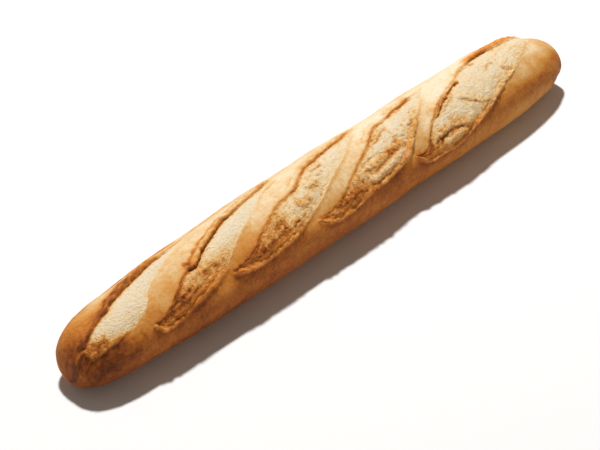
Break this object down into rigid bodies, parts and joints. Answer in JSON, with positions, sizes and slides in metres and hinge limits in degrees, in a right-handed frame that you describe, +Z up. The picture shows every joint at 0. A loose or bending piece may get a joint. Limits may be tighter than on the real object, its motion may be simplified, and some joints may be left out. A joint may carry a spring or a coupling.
{
  "type": "baguette",
  "caption": "Long crusty white loaf with rounded ends, slanted slashes that opened in the oven, raised ears and a flat base; lies on a table, board or tray.",
  "frame": {"origin": "on the flat base, under the middle of the loaf's bounding box", "axes": "+X along the loaf towards the blunter end, +Z up from the base, -Y the side that the slashes' lips face"},
  "size_m": [0.54, 0.0751, 0.0586],
  "materials": {
    "crust": "dry baked crust, golden to orange-brown on the ears and lower sides, pale and floury in the opened slashes"
  },
  "bodies": {
    "root": {"loaf": "crust"}
  },
  "joints": []
}
